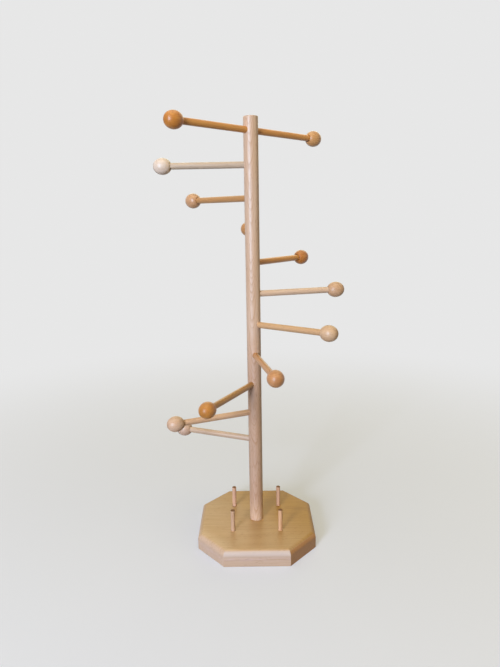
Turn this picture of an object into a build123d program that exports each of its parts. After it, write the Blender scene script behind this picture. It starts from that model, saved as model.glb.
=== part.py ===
from build123d import *
from math import acos, atan2, degrees
import os

# Wooden tree stand for a table or shelf. An eight-sided board carries a round
# post. Dowel arms leave the post in a falling spiral, and each ends in a turned
# ball. The top arm is one dowel that passes through the post and has a ball at
# both ends. Four short pegs stand on the board, round the post's foot.
#
# Frame: millimetres, +Z up. The origin is under the middle of the board, on the
# post's axis, at the height of the table. The front of the stand faces -Y.

# ---- Board -------------------------------------------------------------------
BOARD_WIDTH = 138.0  # left to right
BOARD_DEPTH = 141.0  # front to back
BOARD_THICKNESS = 19.0
CORNER_CUT_ACROSS = 31.5  # taken off each corner along the front or back edge
CORNER_CUT_DEEP = 35.0  # and along the side edge
TOP_EDGE_ROUND = 6.5  # radius worked all round the top edge
UNDER_EDGE_BREAK = 0.6  # narrow chamfer round the underside
WOOD_UNDER_POST = 5.0  # left below the post's blind socket
WOOD_UNDER_PEGS = 8.0  # left below each peg's blind socket

# ---- Post --------------------------------------------------------------------
STAND_HEIGHT = 485.0  # table to the top of the post
POST_RADIUS = 8.0
POST_TOP_EASE = 0.8  # sanded edge of the post's top
POST_FOOT_BREAK = 0.5  # lead-in chamfer on the post's foot

# ---- Arms --------------------------------------------------------------------
ARM_COUNT = 11
ARM_RADIUS = 3.5
ARM_REACH = 96.0  # post axis to ball centre
TOP_ARM_BELOW_TOP = 14.0  # post's top down to the axis of the top arm
LOWEST_ARM_ABOVE_BOARD = 103.0  # board's top up to the axis of the lowest arm
FIRST_ARM_BEARING = 49.5  # degrees from the front (-Y) round to the left (-X)
ARMS_PER_TURN = 8.5  # how many arms make one turn of the spiral
ARM_END_BREAK = 0.4  # chamfer on both ends of a dowel
WOOD_BEHIND_ARM = 4.0  # left in the post behind a blind arm bore
ARM_END_ROOM = 0.5  # room for glue past a dowel's end in a blind bore

# The bores were drilled by hand, so some arms stray from the even spiral. Both
# are in degrees by arm number, counted from the top: round the post in the
# spiral's own sense, and up from level at the ball end.
ARM_OFF_BEARING = {3: -1.5, 7: 2.0, 8: 1.5, 9: 2.0, 10: -3.5, 11: -1.0}
ARM_OFF_LEVEL = {1: 1.0, 6: 1.0, 8: -1.0, 9: -1.5}

# ---- Balls -------------------------------------------------------------------
BALL_RADIUS = 8.8  # across the arm
BALL_OVAL = 1.136  # length along the arm over width: 20 mm long, 17.6 mm wide
BALL_BORE_PAST_CENTRE = 1.0  # how far the blind bore runs past the middle
BALL_MOUTH_BREAK = 0.3  # countersink at the mouth of the bore

# ---- Pegs --------------------------------------------------------------------
PEG_RADIUS = 2.5
PEG_SPACING = 56.0  # between peg axes, across and front to back
PEG_STANDS = 26.0  # above the board
PEG_TIP_BREAK = 0.3  # chamfer round both ends of a peg

# ---- Fits --------------------------------------------------------------------
GLUE_GAP = 0.1  # radial room round every dowel in its bore

# ---- Worked out --------------------------------------------------------------
post_foot_height = WOOD_UNDER_POST
peg_foot_height = WOOD_UNDER_PEGS
post_socket_radius = POST_RADIUS + GLUE_GAP
peg_socket_radius = PEG_RADIUS + GLUE_GAP
arm_bore_radius = ARM_RADIUS + GLUE_GAP

top_arm_height = STAND_HEIGHT - TOP_ARM_BELOW_TOP
lowest_arm_height = BOARD_THICKNESS + LOWEST_ARM_ABOVE_BOARD
arm_drop = (top_arm_height - lowest_arm_height) / (ARM_COUNT - 1)
arm_numbers = range(1, ARM_COUNT + 1)
through_arm = 1

blind_bore_depth = 2 * POST_RADIUS - WOOD_BEHIND_ARM
arm_inner_end = POST_RADIUS - blind_bore_depth + ARM_END_ROOM
arm_outer_end = ARM_REACH + BALL_BORE_PAST_CENTRE - ARM_END_ROOM

# The oval is two kinds of arc that meet smoothly: a flat belly and rounder ends.
ball_half_length = BALL_RADIUS * BALL_OVAL
ball_end_round = BALL_RADIUS * (1 + 1 / BALL_OVAL) / 2
ball_end_centre = ball_half_length - ball_end_round
ball_belly_round = (ball_end_centre**2 + BALL_RADIUS**2 - ball_end_round**2) / (
    2 * (BALL_RADIUS - ball_end_round)
)
ball_meet_angle = degrees(atan2(ball_end_centre, ball_belly_round - BALL_RADIUS))
ball_rim_angle = degrees(acos((arm_bore_radius + BALL_MOUTH_BREAK) / ball_end_round))

os.makedirs("parts", exist_ok=True)


def keep(builder, name):
    """Label a finished piece and write it under its node name."""
    builder.part.label = name
    export_step(builder.part, f"parts/{name}.step")


def arm_plane(number, reverse=False):
    """Plane on the post's axis with Z out along an arm, or out the other way."""
    bearing = FIRST_ARM_BEARING + (number - 1) * 360 / ARMS_PER_TURN
    bearing += ARM_OFF_BEARING.get(number, 0)
    out = Vector(0, -1, 0).rotate(Axis.Z, -bearing)
    side = out.cross(Vector(0, 0, 1))
    out = out.rotate(Axis((0, 0, 0), side), ARM_OFF_LEVEL.get(number, 0))
    height = top_arm_height - (number - 1) * arm_drop
    return Plane((0, 0, height), x_dir=side, z_dir=-out if reverse else out)


# ---- Board: mitred round-over on top, sockets for the post and the pegs -------
with BuildPart() as board:
    with BuildSketch():
        with BuildLine():
            Polyline(
                (0, BOARD_DEPTH / 2),
                (BOARD_WIDTH / 2 - CORNER_CUT_ACROSS, BOARD_DEPTH / 2),
                (BOARD_WIDTH / 2, BOARD_DEPTH / 2 - CORNER_CUT_DEEP),
                (BOARD_WIDTH / 2, 0),
            )
            mirror(about=Plane.XZ)
            mirror(about=Plane.YZ)
        make_face()
    extrude(amount=BOARD_THICKNESS)
    fillet(board.faces().sort_by(Axis.Z)[-1].edges(), TOP_EDGE_ROUND)
    chamfer(board.faces().sort_by(Axis.Z)[0].edges(), UNDER_EDGE_BREAK)
    with Locations((0, 0, BOARD_THICKNESS)):
        Hole(post_socket_radius, BOARD_THICKNESS - WOOD_UNDER_POST)
        with GridLocations(PEG_SPACING, PEG_SPACING, 2, 2):
            Hole(peg_socket_radius, BOARD_THICKNESS - WOOD_UNDER_PEGS)
keep(board, "base_board")

# ---- Post: one long dowel, cross-bored for every arm --------------------------
with BuildPart() as post:
    with BuildSketch(Plane.XY.offset(post_foot_height)):
        Circle(POST_RADIUS)
    extrude(amount=STAND_HEIGHT - post_foot_height)
    fillet(post.faces().sort_by(Axis.Z)[-1].edges(), POST_TOP_EASE)
    chamfer(post.faces().sort_by(Axis.Z)[0].edges(), POST_FOOT_BREAK)
    for number in arm_numbers:
        with Locations(arm_plane(number).offset(POST_RADIUS)):
            if number == through_arm:
                Hole(arm_bore_radius)
            else:
                Hole(arm_bore_radius, blind_bore_depth)
keep(post, "post")


# ---- Arms and balls -----------------------------------------------------------
def make_arm(number):
    """Plain dowel from its bore in the post, or the far ball, to its ball."""
    start = -arm_outer_end if number == through_arm else arm_inner_end
    with BuildPart() as arm:
        with BuildSketch(arm_plane(number).offset(start)):
            Circle(ARM_RADIUS)
        extrude(amount=arm_outer_end - start)
        chamfer(arm.edges().filter_by(GeomType.CIRCLE), ARM_END_BREAK)
    keep(arm, f"arm_dowel_{number:02d}")


def make_ball(name, plane):
    """Turned oval ball on the end of an arm, bored to just past its middle."""
    middle = plane.offset(ARM_REACH)
    beside = Plane(middle.origin, x_dir=middle.x_dir, z_dir=-middle.y_dir)
    with BuildPart() as ball:
        # Half the section, with Y out along the arm, then one turn of the lathe.
        with BuildSketch(beside):
            with BuildLine():
                far_end = CenterArc(
                    (0, ball_end_centre), ball_end_round, ball_meet_angle, 90 - ball_meet_angle
                )
                CenterArc(
                    (BALL_RADIUS - ball_belly_round, 0),
                    ball_belly_round,
                    -ball_meet_angle,
                    2 * ball_meet_angle,
                )
                near_end = CenterArc(
                    (0, -ball_end_centre),
                    ball_end_round,
                    -ball_rim_angle,
                    ball_rim_angle - ball_meet_angle,
                )
                rim = near_end @ 0
                Polyline(
                    rim,
                    (arm_bore_radius, rim.Y + BALL_MOUTH_BREAK),
                    (arm_bore_radius, BALL_BORE_PAST_CENTRE),
                    (0, BALL_BORE_PAST_CENTRE),
                    far_end @ 1,
                )
            make_face()
        revolve(axis=Axis(middle.origin, middle.z_dir))
    keep(ball, name)


for number in arm_numbers:
    make_arm(number)
    if number == through_arm:
        make_ball(f"ball_{number:02d}_left", arm_plane(number))
        make_ball(f"ball_{number:02d}_right", arm_plane(number, reverse=True))
    else:
        make_ball(f"ball_{number:02d}", arm_plane(number))


# ---- Pegs: four short dowels glued into the board ------------------------------
for row, y in (("front", -PEG_SPACING / 2), ("back", PEG_SPACING / 2)):
    for side, x in (("left", -PEG_SPACING / 2), ("right", PEG_SPACING / 2)):
        with BuildPart() as peg:
            with BuildSketch(Plane((x, y, peg_foot_height))):
                Circle(PEG_RADIUS)
            extrude(amount=BOARD_THICKNESS + PEG_STANDS - peg_foot_height)
            chamfer(peg.edges().filter_by(GeomType.CIRCLE), PEG_TIP_BREAK)
        keep(peg, f"base_peg_{row}_{side}")
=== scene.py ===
# %% [markdown]
# # Dressing a wooden tree stand
# The stand is an eight-sided board, a round post, eleven dowel arms with turned
# balls on their ends and four short pegs. Its shape and sizes come from a packed
# model, the frame, so nothing here has to be fitted by eye. This lesson rebuilds
# the two big pieces with softer edges, gives every piece its own wood, and then
# sets the floor, the light and the camera. Lengths are in metres, Z is up, and
# the front of the stand faces -Y.

# %% Load the frame
import bpy
import bmesh
import math
from mathutils import Matrix, Vector


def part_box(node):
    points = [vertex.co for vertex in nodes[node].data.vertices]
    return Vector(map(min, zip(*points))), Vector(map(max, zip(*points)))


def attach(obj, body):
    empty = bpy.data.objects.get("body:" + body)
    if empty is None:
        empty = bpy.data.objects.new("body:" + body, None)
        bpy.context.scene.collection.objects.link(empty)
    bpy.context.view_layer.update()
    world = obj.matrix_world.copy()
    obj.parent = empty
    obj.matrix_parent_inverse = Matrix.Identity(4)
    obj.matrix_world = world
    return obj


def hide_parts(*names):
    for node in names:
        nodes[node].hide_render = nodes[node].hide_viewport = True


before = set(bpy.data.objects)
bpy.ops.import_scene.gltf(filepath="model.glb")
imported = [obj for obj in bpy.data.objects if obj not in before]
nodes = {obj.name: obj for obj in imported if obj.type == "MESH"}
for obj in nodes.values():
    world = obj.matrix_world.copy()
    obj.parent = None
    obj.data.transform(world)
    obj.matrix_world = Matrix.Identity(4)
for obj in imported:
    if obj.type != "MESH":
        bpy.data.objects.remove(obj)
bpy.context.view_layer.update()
scene = bpy.context.scene
MM = 0.001
print("pieces in the frame:", len(nodes))

# %% [markdown]
# ## Measuring the pieces
# The stand is made of one plank and round stock, so a few sizes describe it.
# They could be typed in again, but reading them back from the frame keeps the
# two from drifting apart. The board and the post give theirs by their boxes. An
# arm is a straight dowel, so its line is found from its own points: the two
# farthest apart lie on its two ends, and the middle of each end is the mean of
# the points near it.

# %% Boxes and arm lines
ARM_RADIUS = 3.5 * MM
ARM_NUMBERS = range(1, 12)
THROUGH_ARM = 1
NEAR_TIP = 2.2 * ARM_RADIUS  # a little more than the dowel is thick


def span(name):
    """Lowest and highest corner of a piece, as vectors."""
    low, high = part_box(name)
    return Vector(low), Vector(high)


def arm_line(number):
    """Inner and outer end of an arm's axis, as two points."""
    spots = [vertex.co for vertex in nodes[f"arm_dowel_{number:02d}"].data.vertices]
    if number == THROUGH_ARM:
        outer = min(spots, key=lambda spot: spot.x)
    else:
        outer = max(spots, key=lambda spot: spot.xy.length)
    inner = max(spots, key=lambda spot: (spot - outer).length)
    ends = []
    for tip in (inner, outer):
        rim = [spot for spot in spots if (spot - tip).length < NEAR_TIP]
        ends.append(sum(rim, Vector()) / len(rim))
    return ends


board_high = span("base_board")[1]
post_low, post_high = span("post")
BOARD_TOP = board_high.z
POST_RADIUS = (post_high.x - post_low.x) / 2
for number in ARM_NUMBERS:
    inner, outer = arm_line(number)
    bearing = math.degrees(math.atan2(-outer.x, -outer.y)) % 360
    print(f"arm {number:2d}: height {outer.z / MM:5.1f} mm, bearing {bearing:5.1f}")

# %% [markdown]
# ## The board's outline
# The real board is a square with its corners cut off, and a rounding cutter has
# been run along its top edge, so the round-over meets itself in a crisp mitre
# at each of the eight corners. A Bevel modifier could round it, but building
# the board from rings gives even rows of faces. Each ring is the outline moved
# in by some amount, so this cell works out where the corners go.

# %% Corners of the board, moved in
CUT_ACROSS = 31.5 * MM
CUT_DEEP = 35 * MM


def board_corners(inset):
    """The eight corners of the outline moved in by inset, each with its two normals."""
    half_x, half_y = board_high.x, board_high.y
    corners = [
        (half_x - CUT_ACROSS, half_y), (half_x, half_y - CUT_DEEP),
        (half_x, CUT_DEEP - half_y), (half_x - CUT_ACROSS, -half_y),
        (CUT_ACROSS - half_x, -half_y), (-half_x, CUT_DEEP - half_y),
        (-half_x, half_y - CUT_DEEP), (CUT_ACROSS - half_x, half_y),
    ]
    corners = [Vector(corner) for corner in corners]
    moved = []
    for index, corner in enumerate(corners):
        before = (corner - corners[index - 1]).normalized()
        after = (corners[(index + 1) % len(corners)] - corner).normalized()
        normals = Vector((-before.y, before.x)), Vector((-after.y, after.x))
        between = (normals[0] + normals[1]).normalized()
        moved.append((corner - between * inset / between.dot(normals[0]), normals))
    return moved


print("corners of the board:", len(board_corners(0)))

# %% [markdown]
# ## Sanded corners
# Sandpaper never leaves an edge truly sharp, so each upright corner of the real
# board catches a thin line of light. A bevel would do it, but the rings are
# already at hand: every corner becomes a tiny arc, which turns from one side's
# normal to the next side's.

# %% Rings of the board
SANDED_CORNER = 0.55 * MM
CORNER_STEPS = 4


def board_ring(inset, height):
    """One ring of points, with a small arc at each corner."""
    ring = []
    for centre, (first, second) in board_corners(inset + SANDED_CORNER):
        turn = first.angle_signed(second)
        for step in range(CORNER_STEPS):
            share = step / (CORNER_STEPS - 1)
            reach = Matrix.Rotation(-turn * share, 2) @ first * SANDED_CORNER
            ring.append((centre.x + reach.x, centre.y + reach.y, height))
    return ring


print("points in a ring of the board:", len(board_ring(0, 0)))

# %% [markdown]
# ## From rings to a solid
# The board and the post are both stacks of rings, so one helper makes the mesh:
# it joins each ring to the next with four-sided faces and closes both ends. A
# Skin or Screw modifier could also do it, but rings leave every face where it is
# wanted. Smooth shading with a sharp angle keeps flats flat and rounds round,
# and a Weighted Normal modifier lets the large flats decide the shading at
# their rims, as they do on real planed wood.

# %% Ring stack to object
SHARP_ANGLE = math.radians(32)
FLATS_WEIGHT = 80


def stack(name, rings):
    """A closed solid through a list of rings with equal point counts."""
    mesh = bpy.data.meshes.new(name)
    shape = bmesh.new()
    rows = [[shape.verts.new(point) for point in ring] for ring in rings]
    count = len(rows[0])
    for lower, upper in zip(rows, rows[1:]):
        for index in range(count):
            after = (index + 1) % count
            shape.faces.new((lower[index], lower[after], upper[after], upper[index]))
    shape.faces.new(reversed(rows[0]))
    shape.faces.new(rows[-1])
    bmesh.ops.recalc_face_normals(shape, faces=shape.faces)
    shape.to_mesh(mesh)
    shape.free()
    piece = bpy.data.objects.new(name, mesh)
    scene.collection.objects.link(piece)
    return piece


def shade(piece):
    """Smooth shading that breaks at sharp edges and favours the large flats."""
    piece.data.shade_smooth()
    piece.data.set_sharp_from_angle(angle=SHARP_ANGLE)
    normals = piece.modifiers.new("even_flats", "WEIGHTED_NORMAL")
    normals.keep_sharp = True
    normals.weight = FLATS_WEIGHT


# %% [markdown]
# ## Circles and rounded edges
# The post and the drill that bores it are round, and so is the room behind the
# stand. Blender can add a circle, but a list of points is all that a stack of
# rings needs. A second helper gives the quarter turn of a rounded edge, for the
# board, the post and the room alike.


# %% Circles and rounded edges
def circle(radius, height, sides):
    """A level ring of points round the Z axis."""
    turns = [math.tau * step / sides for step in range(sides)]
    return [Vector((radius * math.cos(turn), radius * math.sin(turn), height)) for turn in turns]


def quarter_turn(radius, steps):
    """How far a rounded edge has come in, and how far it still lies below its top."""
    turns = [math.pi / 2 * step / steps for step in range(steps + 1)]
    return [(radius * (1 - math.cos(turn)), radius * (1 - math.sin(turn))) for turn in turns]


print("half way round a 1 mm edge:", quarter_turn(1, 2)[1])

# %% [markdown]
# ## Drilling
# The board has blind sockets for the post and the pegs, and the post is bored
# across for every arm. A drill leaves a round hole, and a countersink has broken
# its rim before the dowel was pushed in. The holes could be left out, since the
# dowels fill them, but then no fine shadow would show round each dowel. Here the
# drill is a small solid of rings, and a Boolean modifier takes it away. It is
# applied at once, so that the finished mesh holds the holes.

# %% Drill a piece
DRILL_SIDES = 48
DRILL_LEAD = 2 * MM  # how far outside the wood the drill starts, and how much wider


def drill(piece, mouth, inward, radius, depth, rim):
    """Take a countersunk bore out of a piece, from its mouth inward."""
    turn = Vector(inward).to_track_quat("Z", "Y").to_matrix()
    profile = [(-DRILL_LEAD, radius + rim + DRILL_LEAD), (rim, radius), (depth, radius)]
    rings = []
    for along, wide in profile:
        level_ring = circle(wide, along, DRILL_SIDES)
        rings.append([Vector(mouth) + turn @ point for point in level_ring])
    cutter = stack("drill_bit", rings)
    bore = piece.modifiers.new("bore", "BOOLEAN")
    bore.operation = "DIFFERENCE"
    bore.solver = "EXACT"
    bore.object = cutter
    with bpy.context.temp_override(object=piece, active_object=piece):
        bpy.ops.object.modifier_apply(modifier=bore.name)
    spent = cutter.data
    bpy.data.objects.remove(cutter)
    bpy.data.meshes.remove(spent)


print("sides of a drill:", DRILL_SIDES)

# %% [markdown]
# ## The board
# The board is a thick plank with a narrow chamfer under it, straight sides and a round-over on
# top. Its rings go up in that order: two for the softened chamfer, two for the side and a
# quarter turn for the round-over. The imported board has the same sizes but sharp corners, so
# this one takes its place in the picture, and the imported one stays in the frame, hidden.

# %% Board
TOP_ROUND = 6.5 * MM
ROUND_STEPS = 12
UNDER_BREAK = 0.6 * MM
UNDER_SOFT = UNDER_BREAK * 0.3  # where the chamfer's own corner is sanded
UP_SIDE = 0.5  # share of the height where one more ring goes round the side

rings = [board_ring(UNDER_BREAK, 0), board_ring(UNDER_SOFT, UNDER_SOFT),
         board_ring(0, UNDER_BREAK), board_ring(0, BOARD_TOP * UP_SIDE)]
for inset, drop in quarter_turn(TOP_ROUND, ROUND_STEPS):
    rings.append(board_ring(inset, BOARD_TOP - drop))
board = stack("board_dressed", rings)
print("board faces before drilling:", len(board.data.polygons))

# %% [markdown]
# ## Sockets in the board
# The post and the four pegs are glued into blind sockets, a little wider than
# the dowels so that the glue has room. Their places are read from the pegs
# themselves, because a socket that misses its dowel would show at once.

# %% Sockets
DOWN = (0, 0, -1)
GLUE_ROOM = 0.1 * MM
WOOD_UNDER_POST = 5 * MM
WOOD_UNDER_PEGS = 8 * MM
POST_SOCKET_RIM = 0.3 * MM
PEG_SOCKET_RIM = 0.25 * MM
PEG_NAMES = [name for name in nodes if name.startswith("base_peg")]

drill(board, (0, 0, BOARD_TOP), DOWN, POST_RADIUS + GLUE_ROOM,
      BOARD_TOP - WOOD_UNDER_POST, POST_SOCKET_RIM)
for name in PEG_NAMES:
    low, high = span(name)
    middle = (low + high) / 2
    drill(board, (middle.x, middle.y, BOARD_TOP), DOWN, (high.x - low.x) / 2 + GLUE_ROOM,
          BOARD_TOP - WOOD_UNDER_PEGS, PEG_SOCKET_RIM)
shade(board)
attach(board, "root")
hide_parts("base_board")
print("board faces:", len(board.data.polygons))

# %% [markdown]
# ## The post
# The post is a long dowel. Its top edge was eased with sandpaper, and its foot
# has a small lead-in so that it slips into the board. A plain cylinder would
# have faces as long as the post, and a bore cut into those shades badly, so the
# rings stand close together.

# %% Post
POST_SIDES = 96
POST_ROWS = 60
TOP_EASE = 0.8 * MM
EASE_STEPS = 6
FOOT_BREAK = 0.5 * MM

rings = [circle(POST_RADIUS - FOOT_BREAK, post_low.z, POST_SIDES),
         circle(POST_RADIUS, post_low.z + FOOT_BREAK, POST_SIDES)]
for row in range(1, POST_ROWS):
    height = post_low.z + (post_high.z - post_low.z) * row / POST_ROWS
    rings.append(circle(POST_RADIUS, height, POST_SIDES))
for inset, drop in quarter_turn(TOP_EASE, EASE_STEPS):
    rings.append(circle(POST_RADIUS - inset, post_high.z - drop, POST_SIDES))
post = stack("post_dressed", rings)
print("post faces before drilling:", len(post.data.polygons))

# %% [markdown]
# ## Bores in the post
# The top arm is one dowel that goes right through the post, and the other ten
# end inside it. They were drilled by hand, so each bore has a bearing and a tilt
# of its own. The arm's line gives both, and the bore starts where that line
# comes out of the post.

# %% Bores
WOOD_BEHIND_ARM = 4 * MM
DRILL_PAST = 3 * MM  # how far the through bore runs on behind the post
BORE_RIM = 0.05 * MM

for number in ARM_NUMBERS:
    inner, outer = arm_line(number)
    inward = (inner - outer).normalized()
    on_axis = inner - inward * (inner.xy.dot(inward.xy) / inward.xy.length_squared)
    depth = 2 * POST_RADIUS + (DRILL_PAST if number == THROUGH_ARM else -WOOD_BEHIND_ARM)
    drill(post, on_axis - inward * POST_RADIUS, inward, ARM_RADIUS + GLUE_ROOM, depth, BORE_RIM)
shade(post)
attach(post, "root")
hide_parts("post")
print("post faces:", len(post.data.polygons))

# %% [markdown]
# ## Shader maths that reads as Python
# A material is a graph of nodes. Adding a Math node for each plus and minus is
# slow to write and hard to read, so a small class wraps a socket and overloads
# the operators. An expression such as 1 - mask then adds its own Math nodes.


# %% The socket class
class Wire:
    """One output socket, ready to be used in sums."""

    def __init__(self, graph, socket):
        self.graph = graph
        self.socket = socket

    def math(self, operation, first, second=0.0):
        return self.graph.node("Math", {"operation": operation}, {0: first, 1: second})

    def __add__(self, other):
        return self.math("ADD", self, other)

    def __radd__(self, other):
        return self.math("ADD", other, self)

    def __sub__(self, other):
        return self.math("SUBTRACT", self, other)

    def __rsub__(self, other):
        return self.math("SUBTRACT", other, self)

    def __mul__(self, other):
        return self.math("MULTIPLY", self, other)

    def __rmul__(self, other):
        return self.math("MULTIPLY", other, self)

    def __truediv__(self, other):
        return self.math("DIVIDE", self, other)

    def __rtruediv__(self, other):
        return self.math("DIVIDE", other, self)

    def __abs__(self):
        return self.math("ABSOLUTE", self)


# %% [markdown]
# ## One method for every other node
# A Math node would turn a colour grey, so colours and vectors go through Mix and
# Vector Math. Those and all other nodes come from one method, which takes the
# node's type, its settings, which are set first, and what goes into its
# sockets. The short methods after it only save typing.


# %% The graph
class Graph:
    """The node graph of one material or world."""

    def __init__(self, tree):
        self.tree = tree
        self.tree.nodes.clear()

    def node(self, kind, settings=None, sockets=None, out=0):
        """Add a node, set it up, feed its sockets and hand back one output."""
        made = self.tree.nodes.new("ShaderNode" + kind)
        for name, value in (settings or {}).items():
            setattr(made, name, value)
        for name, value in (sockets or {}).items():
            if isinstance(value, Wire):
                self.tree.links.new(value.socket, made.inputs[name])
            else:
                made.inputs[name].default_value = value
        return Wire(self, made.outputs[out]) if made.outputs else None

    def ease(self, value, low, high):
        """0 below low, 1 above high, and an even ease between them."""
        return self.node("MapRange", {"interpolation_type": "SMOOTHSTEP"},
                         {"Value": value, "From Min": low, "From Max": high})

    def mix(self, mask, first, second, how="MIX"):
        """Two colours mixed by a mask."""
        return self.node("Mix", {"data_type": "RGBA", "blend_type": how},
                         {"Factor": mask, 6: first, 7: second}, out=2)

    def noise(self, place, detail, scale=1.0, out=0):
        """Cloudy noise at a place, as a value, or as a colour for three at once."""
        sockets = {"Vector": place, "Scale": scale, "Detail": detail}
        return self.node("TexNoise", None, sockets, out)

    def vector(self, operation, first, second, out="Vector"):
        return self.node("VectorMath", {"operation": operation}, {0: first, 1: second}, out)

    def scale(self, vector, factors):
        """A vector with each of its three numbers times a factor of its own."""
        return self.vector("MULTIPLY", vector, factors)

    def dot(self, first, second):
        """How far one vector goes in the direction of the other."""
        return self.vector("DOT_PRODUCT", first, second, out="Value")

    def length(self, vector):
        return self.vector("LENGTH", vector, (0, 0, 0), out="Value")

    def rise(self, vector):
        """How far a vector goes up."""
        return self.node("SeparateXYZ", None, {0: vector}, "Z")


def new_material(name):
    material = bpy.data.materials.new(name)
    material.use_nodes = True
    return material, Graph(material.node_tree)


# %% [markdown]
# ## Colours
# Paint charts give a colour as three numbers from 0 to 255, which are bent
# toward the dark end as the eye is, while Blender mixes light in straight
# numbers. One helper turns the first into the second. Another gives the factor
# between two colours, so that a tone can be laid over grain without hiding it.


# %% Colours
def tint(red, green, blue):
    """A chart colour (0 to 255) as the linear colour that Blender uses."""
    linear = []
    for level in (red, green, blue):
        share = level / 255
        linear.append(share / 12.92 if share <= 0.04045 else ((share + 0.055) / 1.055) ** 2.4)
    return (*linear, 1.0)


def over(colour, under):
    """What to multiply one colour by to get the other."""
    return (*(a / b for a, b in zip(colour[:3], under[:3])), 1.0)


WHITE = (1, 1, 1, 1)
print("middle grey of a chart in linear light:", round(tint(128, 128, 128)[0], 3))

# %% [markdown]
# ## One wood for all
# Beech, cherry and maple differ in colour and in how strongly their grain shows,
# but they grew alike, so one set of helpers paints them all. An image of wood
# would repeat and would not follow round a ball, so the grain is worked out in
# space instead. Every piece was cut from somewhere in a trunk: its material
# starts with a frame of its own whose Z runs along the fibres.

# %% Kinds of wood
class Wood:
    """How strongly a wood shows its rings, streaks and flecks, and how it is lacquered."""

    def __init__(self, rings, streaks, flecks, ring_gap, lacquer):
        self.rings = rings
        self.streaks = streaks
        self.flecks = flecks
        self.ring_gap = ring_gap
        self.lacquer = lacquer


BEECH = Wood(rings=0.22, streaks=0.40, flecks=0.50, ring_gap=2.1 * MM, lacquer=0.50)
POST_BEECH = Wood(rings=0.56, streaks=0.45, flecks=0.60, ring_gap=0.7 * MM, lacquer=0.50)
PEG_BEECH = Wood(rings=0.30, streaks=0.55, flecks=0.40, ring_gap=1.5 * MM, lacquer=0.35)
CHERRY = Wood(rings=0.40, streaks=0.60, flecks=0.30, ring_gap=1.7 * MM, lacquer=0.80)
MAPLE = Wood(rings=0.22, streaks=0.45, flecks=0.40, ring_gap=2.4 * MM, lacquer=0.45)
print("the finest rings are", POST_BEECH.ring_gap / MM, "mm apart")

# %% [markdown]
# ## Places on a piece
# Grain needs to know where a point of the wood was in the tree. Blender gives
# the point on the stand and the way the surface faces. A Mapping node turns the
# first into the piece's own frame. Each piece also gets a seed, which shifts the
# noise, so that no two pieces show the same grain.

# %% Places on a piece
SEED_SHIFT = (0.37, 0.61, 0.83)


def along_fibres(middle, fibres):
    """A matrix at middle whose Z runs along the fibres."""
    turn = Vector(fibres).to_track_quat("Z", "Y")
    return Matrix.Translation(middle) @ turn.to_matrix().to_4x4()


class Places:
    """Where a point of a piece lies, and which way it faces, as sockets."""

    def __init__(self, g, place, seed):
        self.spot = g.node("TexCoord", out="Object")
        self.facing = g.node("TexCoord", out="Normal")
        self.fibres = place.to_3x3() @ Vector((0, 0, 1))
        self.local = g.node("Mapping", {"vector_type": "TEXTURE"}, {
            "Vector": self.spot, "Location": place.to_translation(),
            "Rotation": place.to_euler()})
        self.own = g.vector("ADD", self.local, [seed * shift for shift in SEED_SHIFT])


# %% [markdown]
# ## Rings
# A tree grows in layers round its pith. Each year starts with pale early wood
# and ends with a thin dark layer of late wood. A Wave texture gives rings too,
# but all alike. Here the distance from the pith is cut into years, the late wood
# eases in toward the end of each, and a white noise on the year makes some years
# stronger. The rings also come out right on end grain.

# %% Rings
SWAY_SCALE = 38  # bends in the trunk, because none is a perfect cylinder
SWAY_STRETCH = (1, 1, 0.45)
SWAY_REACH = (6 * MM, 6 * MM, 0)
NO_SWAY = (0.5, 0.5, 0.5)  # the middle colour of the noise
ACROSS = (1, 1, 0)  # leaves out what lies along the fibres
LATE_STARTS, LATE_FULL = 0.35, 0.93  # shares of a year's growth
WEAKEST_YEAR = 0.35


def late_wood(g, at, kind, pith, seed):
    """The dark part of each growth ring, as a mask."""
    bends = g.noise(g.scale(at.own, SWAY_STRETCH), 2, SWAY_SCALE, out="Color")
    sway = g.scale(g.vector("SUBTRACT", bends, NO_SWAY), SWAY_REACH)
    from_pith = g.vector("SUBTRACT", g.vector("ADD", at.local, sway), pith)
    rings = g.length(g.scale(from_pith, ACROSS)) / kind.ring_gap
    age = g.node("Math", {"operation": "FRACT"}, {0: rings})
    year = g.node("Math", {"operation": "FLOOR"}, {0: rings})
    vigour = g.node("TexWhiteNoise", {"noise_dimensions": "1D"}, {"W": year + seed})
    grown = g.ease(age, LATE_STARTS, LATE_FULL) * (1 - g.ease(age, LATE_FULL, 1.0))
    return grown * (WEAKEST_YEAR + (1 - WEAKEST_YEAR) * vigour)


print("share of a year that is late wood:", round(1 - LATE_STARTS, 2))

# %% [markdown]
# ## Fibres and flecks
# Between the rings a wood shows streaks, which are its fibres, and beech and
# maple show small dark dashes, which are rays cut across. Scratches painted by
# hand would look drawn. Noise that is squeezed across the fibres and drawn out
# along them gives the streaks, and one dash in each cell of a stretched Voronoi
# pattern, of a size left to chance, gives the flecks.

# %% Fibres and flecks
FINE_FIBRES = (1500, 1500, 70)  # how often a pattern changes in a metre, Z along the fibres
BANDS = (330, 330, 9)
PATCHES = (60, 60, 22)
FLECK_CELLS = (780, 780, 130)
LARGEST_FLECK = 0.34
FLECK_HEART = 0.6  # share of a fleck that is fully dark
END_GRAIN = 0.72, 0.97  # how squarely a face cuts the fibres


def flecks(g, at, kind):
    """Small dark dashes along the fibres, as a mask."""
    cells = {"Vector": g.scale(at.own, FLECK_CELLS), "Scale": 1.0}
    dash = g.node("TexVoronoi", {"feature": "F1"}, cells, "Distance")
    chance = g.node("TexVoronoi", {"feature": "F1"}, cells, "Color")
    size = LARGEST_FLECK * g.node("SeparateColor", None, {0: chance})
    return (1 - g.ease(dash, size * FLECK_HEART, size)) * kind.flecks


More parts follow.
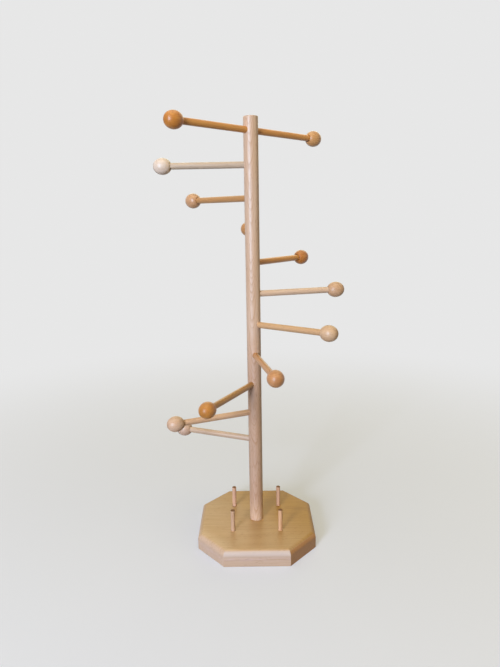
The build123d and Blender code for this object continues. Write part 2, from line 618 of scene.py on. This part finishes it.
class Grain:
    """All the masks that a piece of wood is painted with."""

    def __init__(self, g, at, kind, pith, seed):
        self.late = late_wood(g, at, kind, pith, seed)
        self.fine = g.noise(g.scale(at.own, FINE_FIBRES), 2)
        self.band = g.noise(g.scale(at.own, BANDS), 3)
        self.patch = g.noise(g.scale(at.own, PATCHES), 2)
        self.fleck = flecks(g, at, kind)
        self.end = g.ease(abs(g.dot(at.facing, at.fibres)), *END_GRAIN)


print("the finest fibres are", round(1 / FINE_FIBRES[0] / MM, 2), "mm wide")

# %% [markdown]
# ## The colour of the wood
# The colour starts from one clear tone. Streaks and late wood make up one
# figure, which goes from a lighter tone to a deeper one, and patches, flecks and
# end grain lay three more tones over it. Each piece could have all five chosen
# by hand, but woods of any colour darken in the same way, so a tone is given by
# what the clear one's red, green and blue are multiplied by.

# %% Colour of the wood
BETWEEN_STREAKS = (1.07, 1.10, 1.14)
IN_STREAKS = (0.80, 0.70, 0.58)
IN_PATCHES = (0.98, 0.86, 0.70)
IN_FLECKS = (0.50, 0.36, 0.26)
ON_END_GRAIN = (0.50, 0.38, 0.26)
NOISE_MEAN = 0.5
PLAIN_FIGURE = 0.32  # between the lighter and the deeper tone, before any grain
BAND_FORCE, FIBRE_FORCE = 1.5, 0.9
END_CALM = 0.35  # how much of the figure end grain loses
PATCH_EDGE = 0.35, 0.7
PATCH_SHARE, FLECK_SHARE, END_SHARE = 0.22, 0.75, 0.30


def toned(clear, factors):
    """The clear tone with each channel times its factor, and never past white."""
    return (*(min(1, level * factor) for level, factor in zip(clear, factors)), 1.0)


def wood_colour(g, grain, kind, clear):
    """Figure, patches, flecks and end grain over one clear tone."""
    streak = (grain.band - NOISE_MEAN) * BAND_FORCE + (grain.fine - NOISE_MEAN) * FIBRE_FORCE
    figure = PLAIN_FIGURE + streak * kind.streaks + grain.late * kind.rings
    figure = g.ease(figure * (1 - END_CALM * grain.end), 0.0, 1.0)
    patch = g.ease(grain.patch, *PATCH_EDGE) * PATCH_SHARE
    fleck = grain.fleck * (1 - grain.end) * FLECK_SHARE
    colour = g.mix(figure, toned(clear, BETWEEN_STREAKS), toned(clear, IN_STREAKS))
    colour = g.mix(patch, colour, toned(clear, IN_PATCHES))
    colour = g.mix(fleck, colour, toned(clear, IN_FLECKS))
    return g.mix(grain.end * END_SHARE, colour, toned(clear, ON_END_GRAIN))


print("end grain keeps", ON_END_GRAIN, "of the clear tone")

# %% [markdown]
# ## Lacquer and pores
# The wood has a thin satin lacquer, which sinks into end grain and flecks and
# leaves them duller. It could be part of the wood's own gloss, but the shader's
# coat is made for this: a second gloss over the first. The masks that give the
# colour also drive the roughness and a very shallow bump, so that what looks
# like a pore catches the light like one. A piece may bring a touch of its own,
# which changes colour, roughness and coat last.

# %% Wood material
ROUGH, FIBRE_ROUGH, FLECK_ROUGH, END_ROUGH = 0.50, 0.16, 0.14, 0.14
END_SOAK, FLECK_SOAK = 0.45, 0.5  # shares of the lacquer that sink in
COAT_LEAST, COAT_SWING = 0.86, 0.28  # uneven lacquer, from patch to patch
FIBRE_HEIGHT, LATE_DEPTH, FLECK_DEPTH = 0.5, 0.25, 0.9
BUMP = {"Strength": 0.35, "Distance": 0.06 * MM}
GLOSS = {"Specular IOR Level": 0.3, "Coat Roughness": 0.34, "Coat IOR": 1.5}


def wood(name, kind, clear, place, pith, seed, touch=None):
    """A wood material with fibres along place's Z and rings round the pith."""
    material, g = new_material(name)
    at = Places(g, place, seed)
    grain = Grain(g, at, kind, pith, seed)
    colour = wood_colour(g, grain, kind, clear)
    rough = (ROUGH + (grain.fine - NOISE_MEAN) * FIBRE_ROUGH + grain.fleck * FLECK_ROUGH
             + grain.end * END_ROUGH)
    coat = (kind.lacquer * (1 - END_SOAK * grain.end) * (1 - FLECK_SOAK * grain.fleck)
            * (COAT_LEAST + COAT_SWING * grain.patch))
    if touch:
        colour, rough, coat = touch(g, at, colour, rough, coat)
    height = grain.fine * FIBRE_HEIGHT - grain.late * LATE_DEPTH - grain.fleck * FLECK_DEPTH
    shader = g.node("BsdfPrincipled", None, {
        "Base Color": colour, "Roughness": rough, "Coat Weight": coat,
        "Normal": g.node("Bump", None, {"Height": height, **BUMP}), **GLOSS})
    g.node("OutputMaterial", None, {"Surface": shader})
    return material


def finish(piece, material):
    """Give a piece its one material."""
    piece.data.materials.clear()
    piece.data.materials.append(material)


# %% [markdown]
# ## The board's tones and painted light
# The board's flat top is a warm tan, partly its own tone and partly painted warm light from
# above, with painted shade that deepens it toward the back and the right, while its sides stay
# pinker. The sides that face right get painted shade. A mottled, paler band runs half way up the
# others. By the front left edge the top gets painted light, and in front the round-over gets
# painted light as well. One tone with more contrast in its grain would show none of this, so
# each place gets a tone of its own and a mask that says where it is.

# %% Tones and masks of the board
BOARD_SIDE = tint(206, 177, 154)
# painted shade for the sides that face right
BOARD_RIGHT_SHADE = tint(180, 130, 81)
BOARD_CORE = tint(213, 186, 182)
# the top's tan: partly the wood's own tone, partly painted warm light from above
BOARD_FACE = tint(198, 163, 122)
# painted shade toward the back right of the top
BOARD_SHADY = tint(171, 127, 51)
# painted light along the top's front left edge
BOARD_EDGE_LIT = tint(213, 183, 148)
# painted light on the front round-over
BOARD_LAMPLIT_LIP = tint(206, 194, 193)
FRONT, FACES_FRONT = (-0.35, -0.94, 0), (0.0, 0.38)
RIGHT, FACES_RIGHT = (1, 0.2, 0), (0.05, 0.42)
BACK_RIGHT, LIES_FAR = (0.8, 0.6, 0), (-45 * MM, 55 * MM)
FACES_UP = 0.72, 1.0
AWAY_COUNTS = 0.5  # a round-over that faces away is as warm as the top


def board_masks(g, at):
    """Where the board is flat on top, where it faces right, and where it lies far off."""
    turned_away = 1 - g.ease(g.dot(at.facing, FRONT), *FACES_FRONT)
    flat = g.ease(g.rise(at.facing) + AWAY_COUNTS * turned_away, *FACES_UP)
    right_shade = g.ease(g.dot(at.facing, RIGHT), *FACES_RIGHT)
    far = g.ease(g.dot(at.spot, BACK_RIGHT), *LIES_FAR)
    return flat, right_shade, far


print("the top in red, green and blue, against the sides:",
      [round(level, 2) for level in over(BOARD_FACE, BOARD_SIDE)[:3]])

# %% [markdown]
# ## Painting the board
# The tones could be painted in one chain, but three short helpers, for the sides, the top and
# the lip, are easier to change one by one. Sides and top are multiplied over the wood, which
# keeps its grain. The painted light on the lip is mixed in, so that it pales the grain there
# too.

# %% Painting the board
CORE_STARTS = 0.30 * BOARD_TOP, 0.45 * BOARD_TOP
CORE_ENDS = 0.48 * BOARD_TOP, 0.64 * BOARD_TOP
MOTTLE, MOTTLE_EDGE = (520, 520, 90), (0.38, 0.62)
FRONT_LEFT, EDGE_LIT_STARTS = (-0.743, -0.669, 0), (56 * MM, 71 * MM)  # out to the edge that gets painted light
LIP_STARTS = 0.50 * BOARD_TOP, 0.82 * BOARD_TOP
LIP, FACES_AS_LIP = (0.25, -0.97, 0), (0.46, 0.70)
CORE_SHARE, EDGE_LIT_SHARE, LAMPLIT_SHARE = 0.55, 0.85, 0.60
LIP_SMOOTHER = 0.05
FAR_COAT_LOST = 0.40


def paint_sides(g, at, colour, flat, right_shade):
    """Painted shade where the sides face right, with a pale mottled band half way up the rest.
    """
    # painted shade on the sides that face right
    colour = g.mix(right_shade * (1 - flat), colour, over(BOARD_RIGHT_SHADE, BOARD_SIDE), "MULTIPLY")
    level = g.rise(at.spot)
    core = g.ease(level, *CORE_STARTS) * (1 - g.ease(level, *CORE_ENDS))
    mottle = g.ease(g.noise(g.scale(at.local, MOTTLE), 3), *MOTTLE_EDGE)
    pale = core * mottle * (1 - right_shade) * CORE_SHARE
    return g.mix(pale, colour, over(BOARD_CORE, BOARD_SIDE), "MULTIPLY")


def paint_top(g, at, colour, flat, far):
    """Warm tan, partly painted warm light, with painted shade toward the back right and painted
    light by the front left edge.
    """
    # painted warm light on the top, deepened into painted shade toward the back right
    face = g.mix(far, over(BOARD_FACE, BOARD_SIDE), over(BOARD_SHADY, BOARD_SIDE))
    # painted light along the front left edge of the top
    edge_lit = g.ease(g.dot(at.spot, FRONT_LEFT), *EDGE_LIT_STARTS)
    face = g.mix(edge_lit * EDGE_LIT_SHARE, face, over(BOARD_EDGE_LIT, BOARD_SIDE))
    return g.mix(1.0, colour, g.mix(flat, WHITE, face), "MULTIPLY")


def board_tones_and_light(g, at, colour, rough, coat):
    """All the board's tones with its painted light and shade, and less gloss on the far part of
    the top.
    """
    flat, right_shade, far = board_masks(g, at)
    colour = paint_sides(g, at, colour, flat, right_shade)
    colour = paint_top(g, at, colour, flat, far)
    frontal = g.ease(g.dot(at.facing, LIP), *FACES_AS_LIP)
    # painted light on the front round-over, which is also made a little smoother
    lamplit = g.ease(g.rise(at.spot), *LIP_STARTS) * frontal * (1 - right_shade)
    colour = g.mix(lamplit * LAMPLIT_SHARE, colour, BOARD_LAMPLIT_LIP)
    return colour, rough - lamplit * LIP_SMOOTHER, coat * (1 - far * flat * FAR_COAT_LOST)


print("the rubbed lip starts", round(LIP_STARTS[0] / MM, 1), "mm up")

# %% [markdown]
# ## The board's wood
# The fibres of the board run left to right, not quite level, as in any sawn
# plank. Its pith lay below and behind it, so the rings meet the top at a low
# angle and draw the long soft figure of a flat-sawn board.

# %% Board finish
BOARD_SEED = 3.0
BOARD_FIBRES = (1, 0.02, 0.01)
BOARD_PITH = (0, 18 * MM, -55 * MM)

board_place = along_fibres((0, 0, 0), BOARD_FIBRES)
board_pith = board_place.inverted() @ Vector(BOARD_PITH)
finish(board, wood("board_wood", BEECH, BOARD_SIDE, board_place, board_pith, BOARD_SEED,
                   board_tones_and_light))
print("board finished with", len(board.data.materials[0].node_tree.nodes), "nodes")

# %% [markdown]
# ## The post's wood
# The post is beech as well, with finer rings. Its fibres lean a little from its axis, so the
# rings come out as the long pointed arches that a dowel often shows. That needs no drawing: it
# follows from the leaning frame. Its lower half gets painted shade and a little more roughness,
# but not right at its foot, so one mask of height is laid over the wood.

# %% Post finish
POST_SEED = 5.0
POST_FIBRES = (0.012, 0.045, 1)
POST_PITH = (4 * MM, 30 * MM, 50 * MM)
POST_TONE = tint(212, 182, 159)
# painted shade on the post's lower half
LOWER_POST_SHADE = (0.81, 0.75, 0.73, 1)
LOWER_SHADE_FROM = 20 * MM, 55 * MM
LOWER_SHADE_TO = 200 * MM, 270 * MM
LOWER_POST_DULLER = 0.06


def lower_post_shade(g, at, colour, rough, coat):
    """Painted shade and a little more roughness on the post's lower half."""
    level = g.rise(at.spot)
    # painted shade on the lower half of the post
    lower_shade = g.ease(level, *LOWER_SHADE_FROM) * (1 - g.ease(level, *LOWER_SHADE_TO))
    colour = g.mix(lower_shade, colour, LOWER_POST_SHADE, "MULTIPLY")
    return colour, rough + lower_shade * LOWER_POST_DULLER, coat


post_place = along_fibres((0, 0, 0), POST_FIBRES)
post_pith = post_place.inverted() @ Vector(POST_PITH)
post_pith.z = 0
finish(post, wood("post_wood", POST_BEECH, POST_TONE, post_place, post_pith, POST_SEED, lower_post_shade))
print("post finished, its pith", round(post_pith.length / MM), "mm beside its axis")

# %% [markdown]
# ## Tones of arms and balls
# Each arm and its ball came from its own stick, so no two match: some are a red
# or golden brown, as cherry goes with age, and some are pale. One random tone
# for each would miss that, so the tones are listed, for the dowel by its number
# and for the ball by its name.

# %% Tones of arms and balls
CHERRY_ARMS = (1, 3, 4, 5, 8, 9)
DOWEL_TONES = {
    1: tint(212, 146, 68), 2: tint(195, 174, 153), 3: tint(182, 133, 80),
    4: tint(188, 134, 78), 5: tint(210, 142, 48), 6: tint(212, 183, 158),
    # dowel 9's tone is darker than its wood, as painted shade
    7: tint(200, 160, 118), 8: tint(192, 137, 80), 9: tint(182, 133, 71),
    10: tint(206, 169, 139), 11: tint(199, 173, 151),
}
BALL_TONES = {
    "ball_01_left": tint(194, 124, 42), "ball_01_right": tint(200, 148, 92),
    "ball_02": tint(226, 207, 192), "ball_03": tint(201, 154, 113),
    "ball_04": tint(188, 134, 80), "ball_05": tint(180, 112, 41),
    "ball_06": tint(200, 161, 127), "ball_07": tint(207, 172, 138),
    "ball_08": tint(192, 137, 88), "ball_09": tint(186, 123, 48),
    "ball_10": tint(207, 173, 147), "ball_11": tint(202, 171, 151),
}
print("tones listed:", len(DOWEL_TONES), "dowels,", len(BALL_TONES), "balls")

# %% [markdown]
# ## The joint at a ball
# Where an arm enters its ball, glue and dust have left a thin dark line round
# the mouth of the bore. It is too fine for a piece of its own, so the ball's
# wood is darkened there: near the axis, and only on the side of the mouth.

# %% Dark joint
BALL_MOUTH = 9.1 * MM  # from the ball's middle back along the arm
JOINT_WIDTH = 0.9 * MM
JOINT_ENDS = -BALL_MOUTH, -0.75 * BALL_MOUTH
JOINT_TONE = (0.10, 0.05, 0.02, 1)
JOINT_SHARE = 0.6
JOINT_DULLER = 0.2


def dark_joint(g, at, colour, rough, coat):
    """A ball is darker and duller round the mouth of its bore."""
    off_axis = g.length(g.scale(at.local, ACROSS))
    near = 1 - g.ease(off_axis, ARM_RADIUS, ARM_RADIUS + JOINT_WIDTH)
    mouth = near * (1 - g.ease(g.rise(at.local), *JOINT_ENDS))
    colour = g.mix(mouth * JOINT_SHARE, colour, JOINT_TONE)
    return colour, rough + mouth * JOINT_DULLER, coat * (1 - mouth)


print("the dark joint is", JOINT_WIDTH / MM, "mm wide")

# %% [markdown]
# ## Finishing arms and balls
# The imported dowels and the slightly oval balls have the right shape, so they
# stay and only get their wood. A dowel's fibres run along it. So do its ball's,
# because the ball was turned between centres on the same axis, and its rings
# then show as ovals on its sides. The pith of each piece lies in another
# direction, and the seed differs as well.

# %% Finish arms and balls
DOWEL_PAST_MIDDLE = 0.5 * MM  # how far a dowel runs past its ball's middle
DOWEL_PITH = 9 * MM
BALL_PITH = 14 * MM
DOWEL_TURN, DOWEL_SEED = 2.4, 1.7  # what each arm's number is multiplied by
BALL_TURN, BALL_SEED = 1.3, 2.3


def pith_beside(distance, turn):
    """A pith at some distance from a piece's axis, in the piece's own frame."""
    return Vector((distance * math.cos(turn), distance * math.sin(turn), 0))


for number in ARM_NUMBERS:
    kind = CHERRY if number in CHERRY_ARMS else MAPLE
    inner, outer = arm_line(number)
    out = (outer - inner).normalized()
    name = f"arm_dowel_{number:02d}"
    finish(nodes[name], wood("wood_" + name, kind, DOWEL_TONES[number],
                             along_fibres((inner + outer) / 2, out),
                             pith_beside(DOWEL_PITH, number * DOWEL_TURN),
                             number * DOWEL_SEED))
    for name in [node for node in nodes if node.startswith(f"ball_{number:02d}")]:
        tip, away = (inner, -out) if name.endswith("right") else (outer, out)
        finish(nodes[name], wood("wood_" + name, kind, BALL_TONES[name],
                                 along_fibres(tip - away * DOWEL_PAST_MIDDLE, away),
                                 pith_beside(BALL_PITH, number * BALL_TURN + len(name)),
                                 number * BALL_SEED + len(name), dark_joint))
print("arms and balls finished, cherry arms:", len(CHERRY_ARMS))

# %% [markdown]
# ## The pegs
# The pegs are short lengths of thin dowel, each a little different in tone. They
# were sawn off and left bare at the tip, so their end grain is dark. The general
# end grain is too mild for that, and so the faces that look up get a tone of
# their own, uneven as the open pores are.

# %% Finish pegs
PEG_TONES = {
    "base_peg_front_left": tint(199, 166, 140), "base_peg_front_right": tint(215, 172, 136),
    "base_peg_back_left": tint(215, 176, 152), "base_peg_back_right": tint(204, 165, 138),
}
PEG_TIP = tint(112, 74, 42)
TIP_FACES_UP = 0.35, 0.7
TIP_PORES = (900, 900, 0)
TIP_LEAST, PORE_SHARE = 0.55, 0.6
TIP_DULLER, TIP_COAT_LOST = 0.2, 0.8
PEG_SEED = 11


def dark_tip(g, at, colour, rough, coat):
    """The sawn tips show dark, dull end grain."""
    up = g.ease(g.rise(at.facing), *TIP_FACES_UP)
    pores = g.noise(g.scale(at.local, TIP_PORES), 3)
    colour = g.mix(up * (TIP_LEAST + PORE_SHARE * pores), colour, PEG_TIP)
    return colour, rough + up * TIP_DULLER, coat * (1 - TIP_COAT_LOST * up)


for index, name in enumerate(PEG_NAMES):
    low, high = span(name)
    pith = Vector((6 * MM, (4 - 3 * index) * MM, 0))
    finish(nodes[name], wood("wood_" + name, PEG_BEECH, PEG_TONES[name],
                             along_fibres((low + high) / 2, (0, 0, 1)), pith,
                             PEG_SEED + index, dark_tip))
print("pegs finished:", len(PEG_NAMES))

# %% [markdown]
# ## Floor and backdrop
# A studio sweep is one sheet that runs along the floor and curves up behind, so
# there is no line between the two. A sheet bent one way would leave its sides
# open, and the stand is looked at from all round, so this one is a round dish:
# circles that spread over the floor, curve up and end in a straight rim.

# %% Sweep
ROOM_RADIUS = 3.4
ROOM_CURVE = 1.3
ROOM_TALL = 5.0
ROOM_SIDES = 96
CURVE_STEPS = 16
FLOOR_RINGS = (0.6, 1.4)

line = [(radius, 0.0) for radius in FLOOR_RINGS]
for climbed, short in quarter_turn(ROOM_CURVE, CURVE_STEPS):
    line.append((ROOM_RADIUS - short, climbed))
line.append((ROOM_RADIUS, ROOM_TALL))
points, faces = [(0, 0, 0)], []
for radius, height in line:
    points.extend(circle(radius, height, ROOM_SIDES))
for side in range(ROOM_SIDES):
    after = (side + 1) % ROOM_SIDES
    faces.append((0, 1 + side, 1 + after))
    for row in range(len(line) - 1):
        lower, upper = 1 + row * ROOM_SIDES, 1 + (row + 1) * ROOM_SIDES
        faces.append((lower + side, upper + side, upper + after, lower + after))
mesh = bpy.data.meshes.new("sweep")
mesh.from_pydata(points, [], faces)
mesh.shade_smooth()
sweep = bpy.data.objects.new("sweep", mesh)
scene.collection.objects.link(sweep)
print("sweep faces:", len(faces))

# %% [markdown]
# ## The sweep's paper
# The paper should look pale without throwing light back at the stand. Brighter
# lamps would do it and would wash out the wood. Light Path instead tells what
# kind of ray has arrived: what the camera or a reflection sees is pale, and what
# lights the wood is a dull sheet. Near the stand the pale side is real paper
# with a faint glow, so the shadow falls on it. Farther off it eases into a plain
# glow, which is even whatever the lamps do.

# %% Paper
PAPER = (0.52, 0.555, 0.69, 1)
PAPER_GLOW = (0.28, 0.28, 0.28, 1)
PLAIN_PALE = (0.80, 0.80, 0.80, 1)
DULL = (0.05, 0.045, 0.04, 1)
SHADOW_NEAR, SHADOW_FAR = 0.10, 1.0
LESS_UPWARD = (1, 1, 0.8)


def seen_ray(g):
    """1 for a ray that shows the surface to the eye, 0 for one that carries its light on."""
    seen = g.node("LightPath", out="Is Camera Ray") + g.node("LightPath", out="Is Glossy Ray")
    return seen + g.node("LightPath", out="Is Transmission Ray")


material, g = new_material("sweep_paper")
distance = g.length(g.scale(g.node("TexCoord", out="Object"), LESS_UPWARD))
away = g.ease(distance, SHADOW_NEAR, SHADOW_FAR)
paper = g.node("AddShader", None, {
    0: g.node("BsdfDiffuse", None, {"Color": PAPER}),
    1: g.node("Emission", None, {"Color": PAPER_GLOW, "Strength": 1.0})})
plain = g.node("Emission", None, {"Color": PLAIN_PALE, "Strength": 1.0})
pale = g.node("MixShader", None, {0: away, 1: paper, 2: plain})
dull = g.node("BsdfDiffuse", None, {"Color": DULL})
g.node("OutputMaterial", None, {
    "Surface": g.node("MixShader", None, {0: seen_ray(g), 1: dull, 2: pale})})
finish(sweep, material)
print("paper nodes:", len(material.node_tree.nodes))

# %% [markdown]
# ## A soft box
# Light from a large pale surface is soft, and an Area light is just that. Its
# strength in watts says little about how bright the wood will look, because size
# and distance matter too. The helper works it out from a level instead: at a
# level of 1, a surface that faces the lamp shows its colour as it is painted.

# %% A soft box
AIM = Vector((0, 0, 0.25))  # half way up the stand


def lamp(name, bearing, rise, distance, wide, tall, level, colour):
    """A soft box aimed at the stand, its bearing counted from the front to the left."""
    light = bpy.data.lights.new(name, "AREA")
    light.shape = "RECTANGLE"
    light.size = wide
    light.size_y = tall
    light.energy = level * (math.pi * distance) ** 2
    light.color = colour
    turn, lift = math.radians(bearing), math.radians(rise)
    out = Vector((-math.sin(turn) * math.cos(lift), -math.cos(turn) * math.cos(lift),
                  math.sin(lift)))
    box = bpy.data.objects.new(name, light)
    scene.collection.objects.link(box)
    box.visible_camera = False
    facing = out.to_track_quat("Z", "Y").to_matrix().to_4x4()
    box.matrix_world = Matrix.Translation(AIM + out * distance) @ facing
    return box


# %% [markdown]
# ## Light
# The stand is lit from the front left, almost level, as by a window. That light
# is a pair of lamps in one place: one for the matt light on the wood, and a
# bluer one that shows only in the gloss, where it draws the streak down the post
# and the small bright spots on the balls. One lamp alone could not give both
# their tone. A warm panel overhead and weak ones behind and at the right keep
# the tops and the far sides readable.

# %% Lamps
LAMPS = (
    # name, bearing, rise, distance, width, height, level, colour
    ("window_light", 28, 11, 2.2, 0.55, 0.9, 1.02, (0.92, 0.98, 1.11)),
    ("window_streak", 29, 12, 2.2, 0.6, 1.4, 1.05, (0.55, 0.88, 1.24)),
    ("top_panel", 20, 80, 2.0, 2.0, 2.0, 0.56, (1.0, 0.85, 0.52)),
    ("back_panel", 190, 30, 2.2, 2.4, 1.6, 0.30, (1.0, 0.91, 0.46)),
    ("right_panel", -65, 20, 2.2, 1.6, 1.6, 0.20, (1.0, 0.81, 0.32)),
)
lamps = {facts[0]: lamp(*facts) for facts in LAMPS}
lamps["window_light"].visible_glossy = False
lamps["window_streak"].visible_diffuse = False
print("lamps:", ", ".join(lamps))

# %% [markdown]
# ## The room
# Above the sweep the room is open, and in life a pale ceiling would throw back a
# little warm light. The world does both: it is as pale as the sweep where it is
# seen, and a faint warm glow where it lights the wood.

# %% Room
ROOM_WARMTH = (1, 0.90, 0.42, 1)
ROOM_LEVEL = 0.08

world = bpy.data.worlds.new("room")
scene.world = world
world.use_nodes = True
g = Graph(world.node_tree)
room = g.node("Background", None, {"Color": ROOM_WARMTH, "Strength": ROOM_LEVEL})
pale = g.node("Background", None, {"Color": PLAIN_PALE, "Strength": 1.0})
g.node("OutputWorld", None, {
    "Surface": g.node("MixShader", None, {0: seen_ray(g), 1: room, 2: pale})})
print("room nodes:", len(world.node_tree.nodes))

# %% [markdown]
# ## Camera
# The camera stands in front of the stand at eye level and looks down a little.
# It could be set by hand until the picture looks right, but its place and its
# lens were worked out from the corners of the board and the centres of the
# balls, so the picture lines up with the stand as it was seen.

# %% Camera
CAMERA_BACK = 0.60644
CAMERA_HEIGHT = 0.38139
CAMERA_PITCH = math.radians(12.144)
CAMERA_YAW = math.radians(-0.409)
CAMERA_ROLL = math.radians(-0.968)
CAMERA_LENS = 29.25
SENSOR_WIDTH = 36

ahead = Vector((math.sin(CAMERA_YAW) * math.cos(CAMERA_PITCH),
                math.cos(CAMERA_YAW) * math.cos(CAMERA_PITCH), -math.sin(CAMERA_PITCH)))
right = Vector((math.cos(CAMERA_YAW), -math.sin(CAMERA_YAW), 0))
up = right.cross(ahead)
side = right * math.cos(CAMERA_ROLL) + up * math.sin(CAMERA_ROLL)
head = up * math.cos(CAMERA_ROLL) - right * math.sin(CAMERA_ROLL)
view = bpy.data.cameras.new("view")
view.lens = CAMERA_LENS
view.sensor_width = SENSOR_WIDTH
camera = bpy.data.objects.new("view", view)
scene.collection.objects.link(camera)
camera.matrix_world = Matrix((
    (side.x, head.x, -ahead.x, 0),
    (side.y, head.y, -ahead.y, -CAMERA_BACK),
    (side.z, head.z, -ahead.z, CAMERA_HEIGHT),
    (0, 0, 0, 1),
))
scene.camera = camera
scene.view_settings.view_transform = "Standard"
print("camera looks down", round(math.degrees(CAMERA_PITCH), 1), "degrees")
